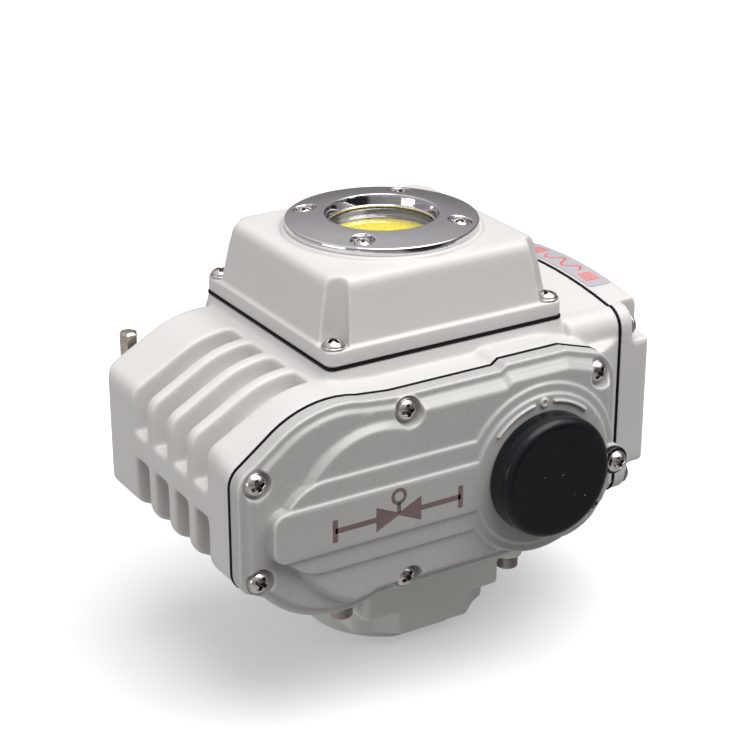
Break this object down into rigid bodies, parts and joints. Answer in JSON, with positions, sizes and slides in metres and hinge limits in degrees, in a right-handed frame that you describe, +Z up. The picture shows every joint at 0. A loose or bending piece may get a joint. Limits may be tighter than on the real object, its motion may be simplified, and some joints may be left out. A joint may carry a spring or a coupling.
{
  "type": "motorized valve actuator",
  "caption": "Compact quarter-turn electric valve actuator with a finned gearbox, position window, terminal box, hand override and square output socket.",
  "frame": {"origin": "centre of the bottom mounting face, on the output axis", "axes": "+Z up the output axis towards the window, gear cover towards -Y, cooling fins towards -X, terminal box towards +X"},
  "size_m": [0.1806, 0.144, 0.158],
  "materials": {
    "paint_white": "satin off-white powder coat",
    "paint_grey": "satin grey paint",
    "gasket": "matte black rubber",
    "cap_rubber": "satin black rubber",
    "stainless": "bright stainless",
    "chrome": "polished",
    "glass": "clear",
    "steel": "machined",
    "dark_steel": "dull plated",
    "bronze": "machined bronze",
    "copper": "enamelled copper wire",
    "aluminium": "cast",
    "yellow_plastic": "gloss",
    "red_plastic": "gloss",
    "white_plastic": "moulded",
    "black_plastic": "moulded",
    "green_plastic": "moulded",
    "label": "silvery film"
  },
  "bodies": {
    "housing": {"main_housing": "paint_white", "top_cover": "paint_white", "top_cover_gasket": "gasket", "top_cover_screws": "stainless", "window_bezel": "chrome", "window_glass": "glass", "window_seal": "gasket", "bezel_screws": "stainless", "gear_cover": "paint_white", "gear_cover_gasket": "gasket", "gear_cover_screws": "stainless", "terminal_cover": "paint_white", "terminal_cover_gasket": "gasket", "terminal_cover_screws": "stainless", "voltage_label": "label", "base_block": "paint_grey", "base_screws": "dark_steel", "base_oring": "gasket", "lower_bush": "bronze", "upper_bush": "bronze", "worm_bearings": "steel", "idler_pins": "steel", "motor_stator": "steel", "motor_windings": "copper", "motor_end_bells": "aluminium", "motor_bearings": "steel", "motor_screws": "stainless", "capacitor": "black_plastic", "capacitor_clamp": "steel", "switch_bracket": "steel", "limit_switches": "black_plastic", "lever_pins": "steel", "terminal_block": "green_plastic", "terminal_screws": "stainless", "cable_glands": "black_plastic", "gland_nuts": "black_plastic", "gland_seals": "gasket", "cap_tab": "cap_rubber", "cap_tab_screw": "stainless", "key_clips": "steel"},
    "output": {"output_shaft": "steel", "worm_wheel": "bronze", "wheel_key": "steel", "limit_cams": "white_plastic", "indicator_disc": "yellow_plastic", "indicator_pointer": "red_plastic"},
    "worm_line": {"worm_shaft": "steel", "worm": "steel", "worm_gear": "steel"},
    "idler_1": {"idler_gear_1": "steel"},
    "idler_2": {"idler_gear_2": "steel"},
    "rotor": {"motor_rotor": "steel", "motor_shaft": "steel", "motor_pinion": "bronze"},
    "lever_open": {"switch_lever_open": "white_plastic"},
    "lever_shut": {"switch_lever_shut": "white_plastic"},
    "cap": {"override_cap": "cap_rubber"},
    "key": {"hex_key": "dark_steel"}
  },
  "joints": [
    {"name": "motor_spin", "type": "hinge", "parent": "housing", "child": "rotor", "pos_m": [-0.052, 0, 0.0795], "axis": [0, -1, 0], "range_deg": [0, 187200]},
    {"name": "idler_1_spin", "type": "hinge", "parent": "housing", "child": "idler_1", "pos_m": [-0.0282, -0.058, 0.0764], "axis": [0, -1, 0], "range_deg": [-46801, 0]},
    {"name": "idler_2_spin", "type": "hinge", "parent": "housing", "child": "idler_2", "pos_m": [-0.00499, -0.054, 0.08251], "axis": [0, -1, 0], "range_deg": [0, 11701]},
    {"name": "worm_spin", "type": "hinge", "parent": "housing", "child": "worm_line", "pos_m": [0.0235, 0, 0.0783], "axis": [0, -1, 0], "range_deg": [-2341, 0]},
    {"name": "output_turn", "type": "hinge", "parent": "housing", "child": "output", "pos_m": [0, 0, 0.0783], "axis": [0, 0, -1], "range_deg": [0, 90]},
    {"name": "cap_pull", "type": "slide", "parent": "housing", "child": "cap", "axis": [0, -1, 0], "range_m": [0, 0.02]},
    {"name": "key_pull", "type": "slide", "parent": "housing", "child": "key", "axis": [0, 1, 0], "range_m": [0, 0.03]},
    {"name": "lever_open_swing", "type": "hinge", "parent": "housing", "child": "lever_open", "pos_m": [-0.0249, 0.0186, 0.1064], "axis": [0, 0, 1], "range_deg": [0, 3], "stiffness_Nm_per_rad": 0.02},
    {"name": "lever_shut_swing", "type": "hinge", "parent": "housing", "child": "lever_shut", "pos_m": [0.0249, 0.0186, 0.1126], "axis": [0, 0, -1], "range_deg": [0, 3], "stiffness_Nm_per_rad": 0.02}
  ],
  "couplings": [
    {"joint": "idler_1_spin", "follows": "motor_spin", "ratio": -0.25},
    {"joint": "idler_2_spin", "follows": "motor_spin", "ratio": 0.0625},
    {"joint": "worm_spin", "follows": "motor_spin", "ratio": -0.0125},
    {"joint": "output_turn", "follows": "motor_spin", "ratio": 0.00048077}
  ]
}
